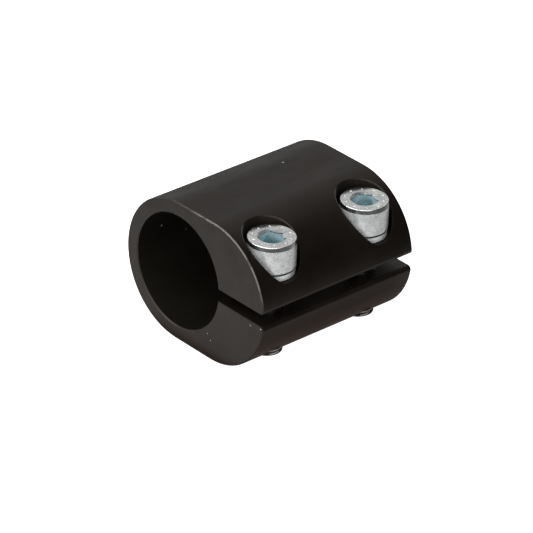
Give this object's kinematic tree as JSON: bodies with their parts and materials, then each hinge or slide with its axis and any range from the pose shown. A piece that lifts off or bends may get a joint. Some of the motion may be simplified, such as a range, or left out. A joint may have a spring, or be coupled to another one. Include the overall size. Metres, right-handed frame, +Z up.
{
  "type": "two-screw clamping shaft collar",
  "caption": "Long one-piece split shaft collar with an oblong body, clamped on the shaft by socket head cap screws across its slot.",
  "frame": {"origin": "middle of the bore, on its axis, half way along the body", "axes": "+X towards the mouth of the slot, +Y along the bore, +Z up along the screws towards their heads"},
  "size_m": [0.0533, 0.052, 0.04],
  "materials": {
    "black_anodised": "satin black anodised",
    "zinc_screw": "bright zinc plated",
    "zinc_washer": "bright zinc plated"
  },
  "bodies": {
    "clamp_body": {"clamp_body": "black_anodised"},
    "screw_front": {"screw_front": "zinc_screw"},
    "screw_rear": {"screw_rear": "zinc_screw"},
    "washer_front": {"washer_front": "zinc_washer"},
    "washer_rear": {"washer_rear": "zinc_washer"}
  },
  "joints": [
    {"name": "screw_front_travel", "type": "slide", "parent": "clamp_body", "child": "washer_front", "axis": [0, 0, 1], "range_m": [0, 0.0125]},
    {"name": "screw_front_turn", "type": "hinge", "parent": "washer_front", "child": "screw_front", "pos_m": [0.0245, -0.016, 0.00975], "axis": [0, 0, 1], "range_deg": [0, 3600]},
    {"name": "screw_rear_travel", "type": "slide", "parent": "clamp_body", "child": "washer_rear", "axis": [0, 0, 1], "range_m": [0, 0.0125]},
    {"name": "screw_rear_turn", "type": "hinge", "parent": "washer_rear", "child": "screw_rear", "pos_m": [0.0245, 0.016, 0.00975], "axis": [0, 0, 1], "range_deg": [0, 3600]}
  ],
  "couplings": [
    {"joint": "screw_front_travel", "follows": "screw_front_turn", "m_per_rad": 0.00019894},
    {"joint": "screw_rear_travel", "follows": "screw_rear_turn", "m_per_rad": 0.00019894}
  ]
}
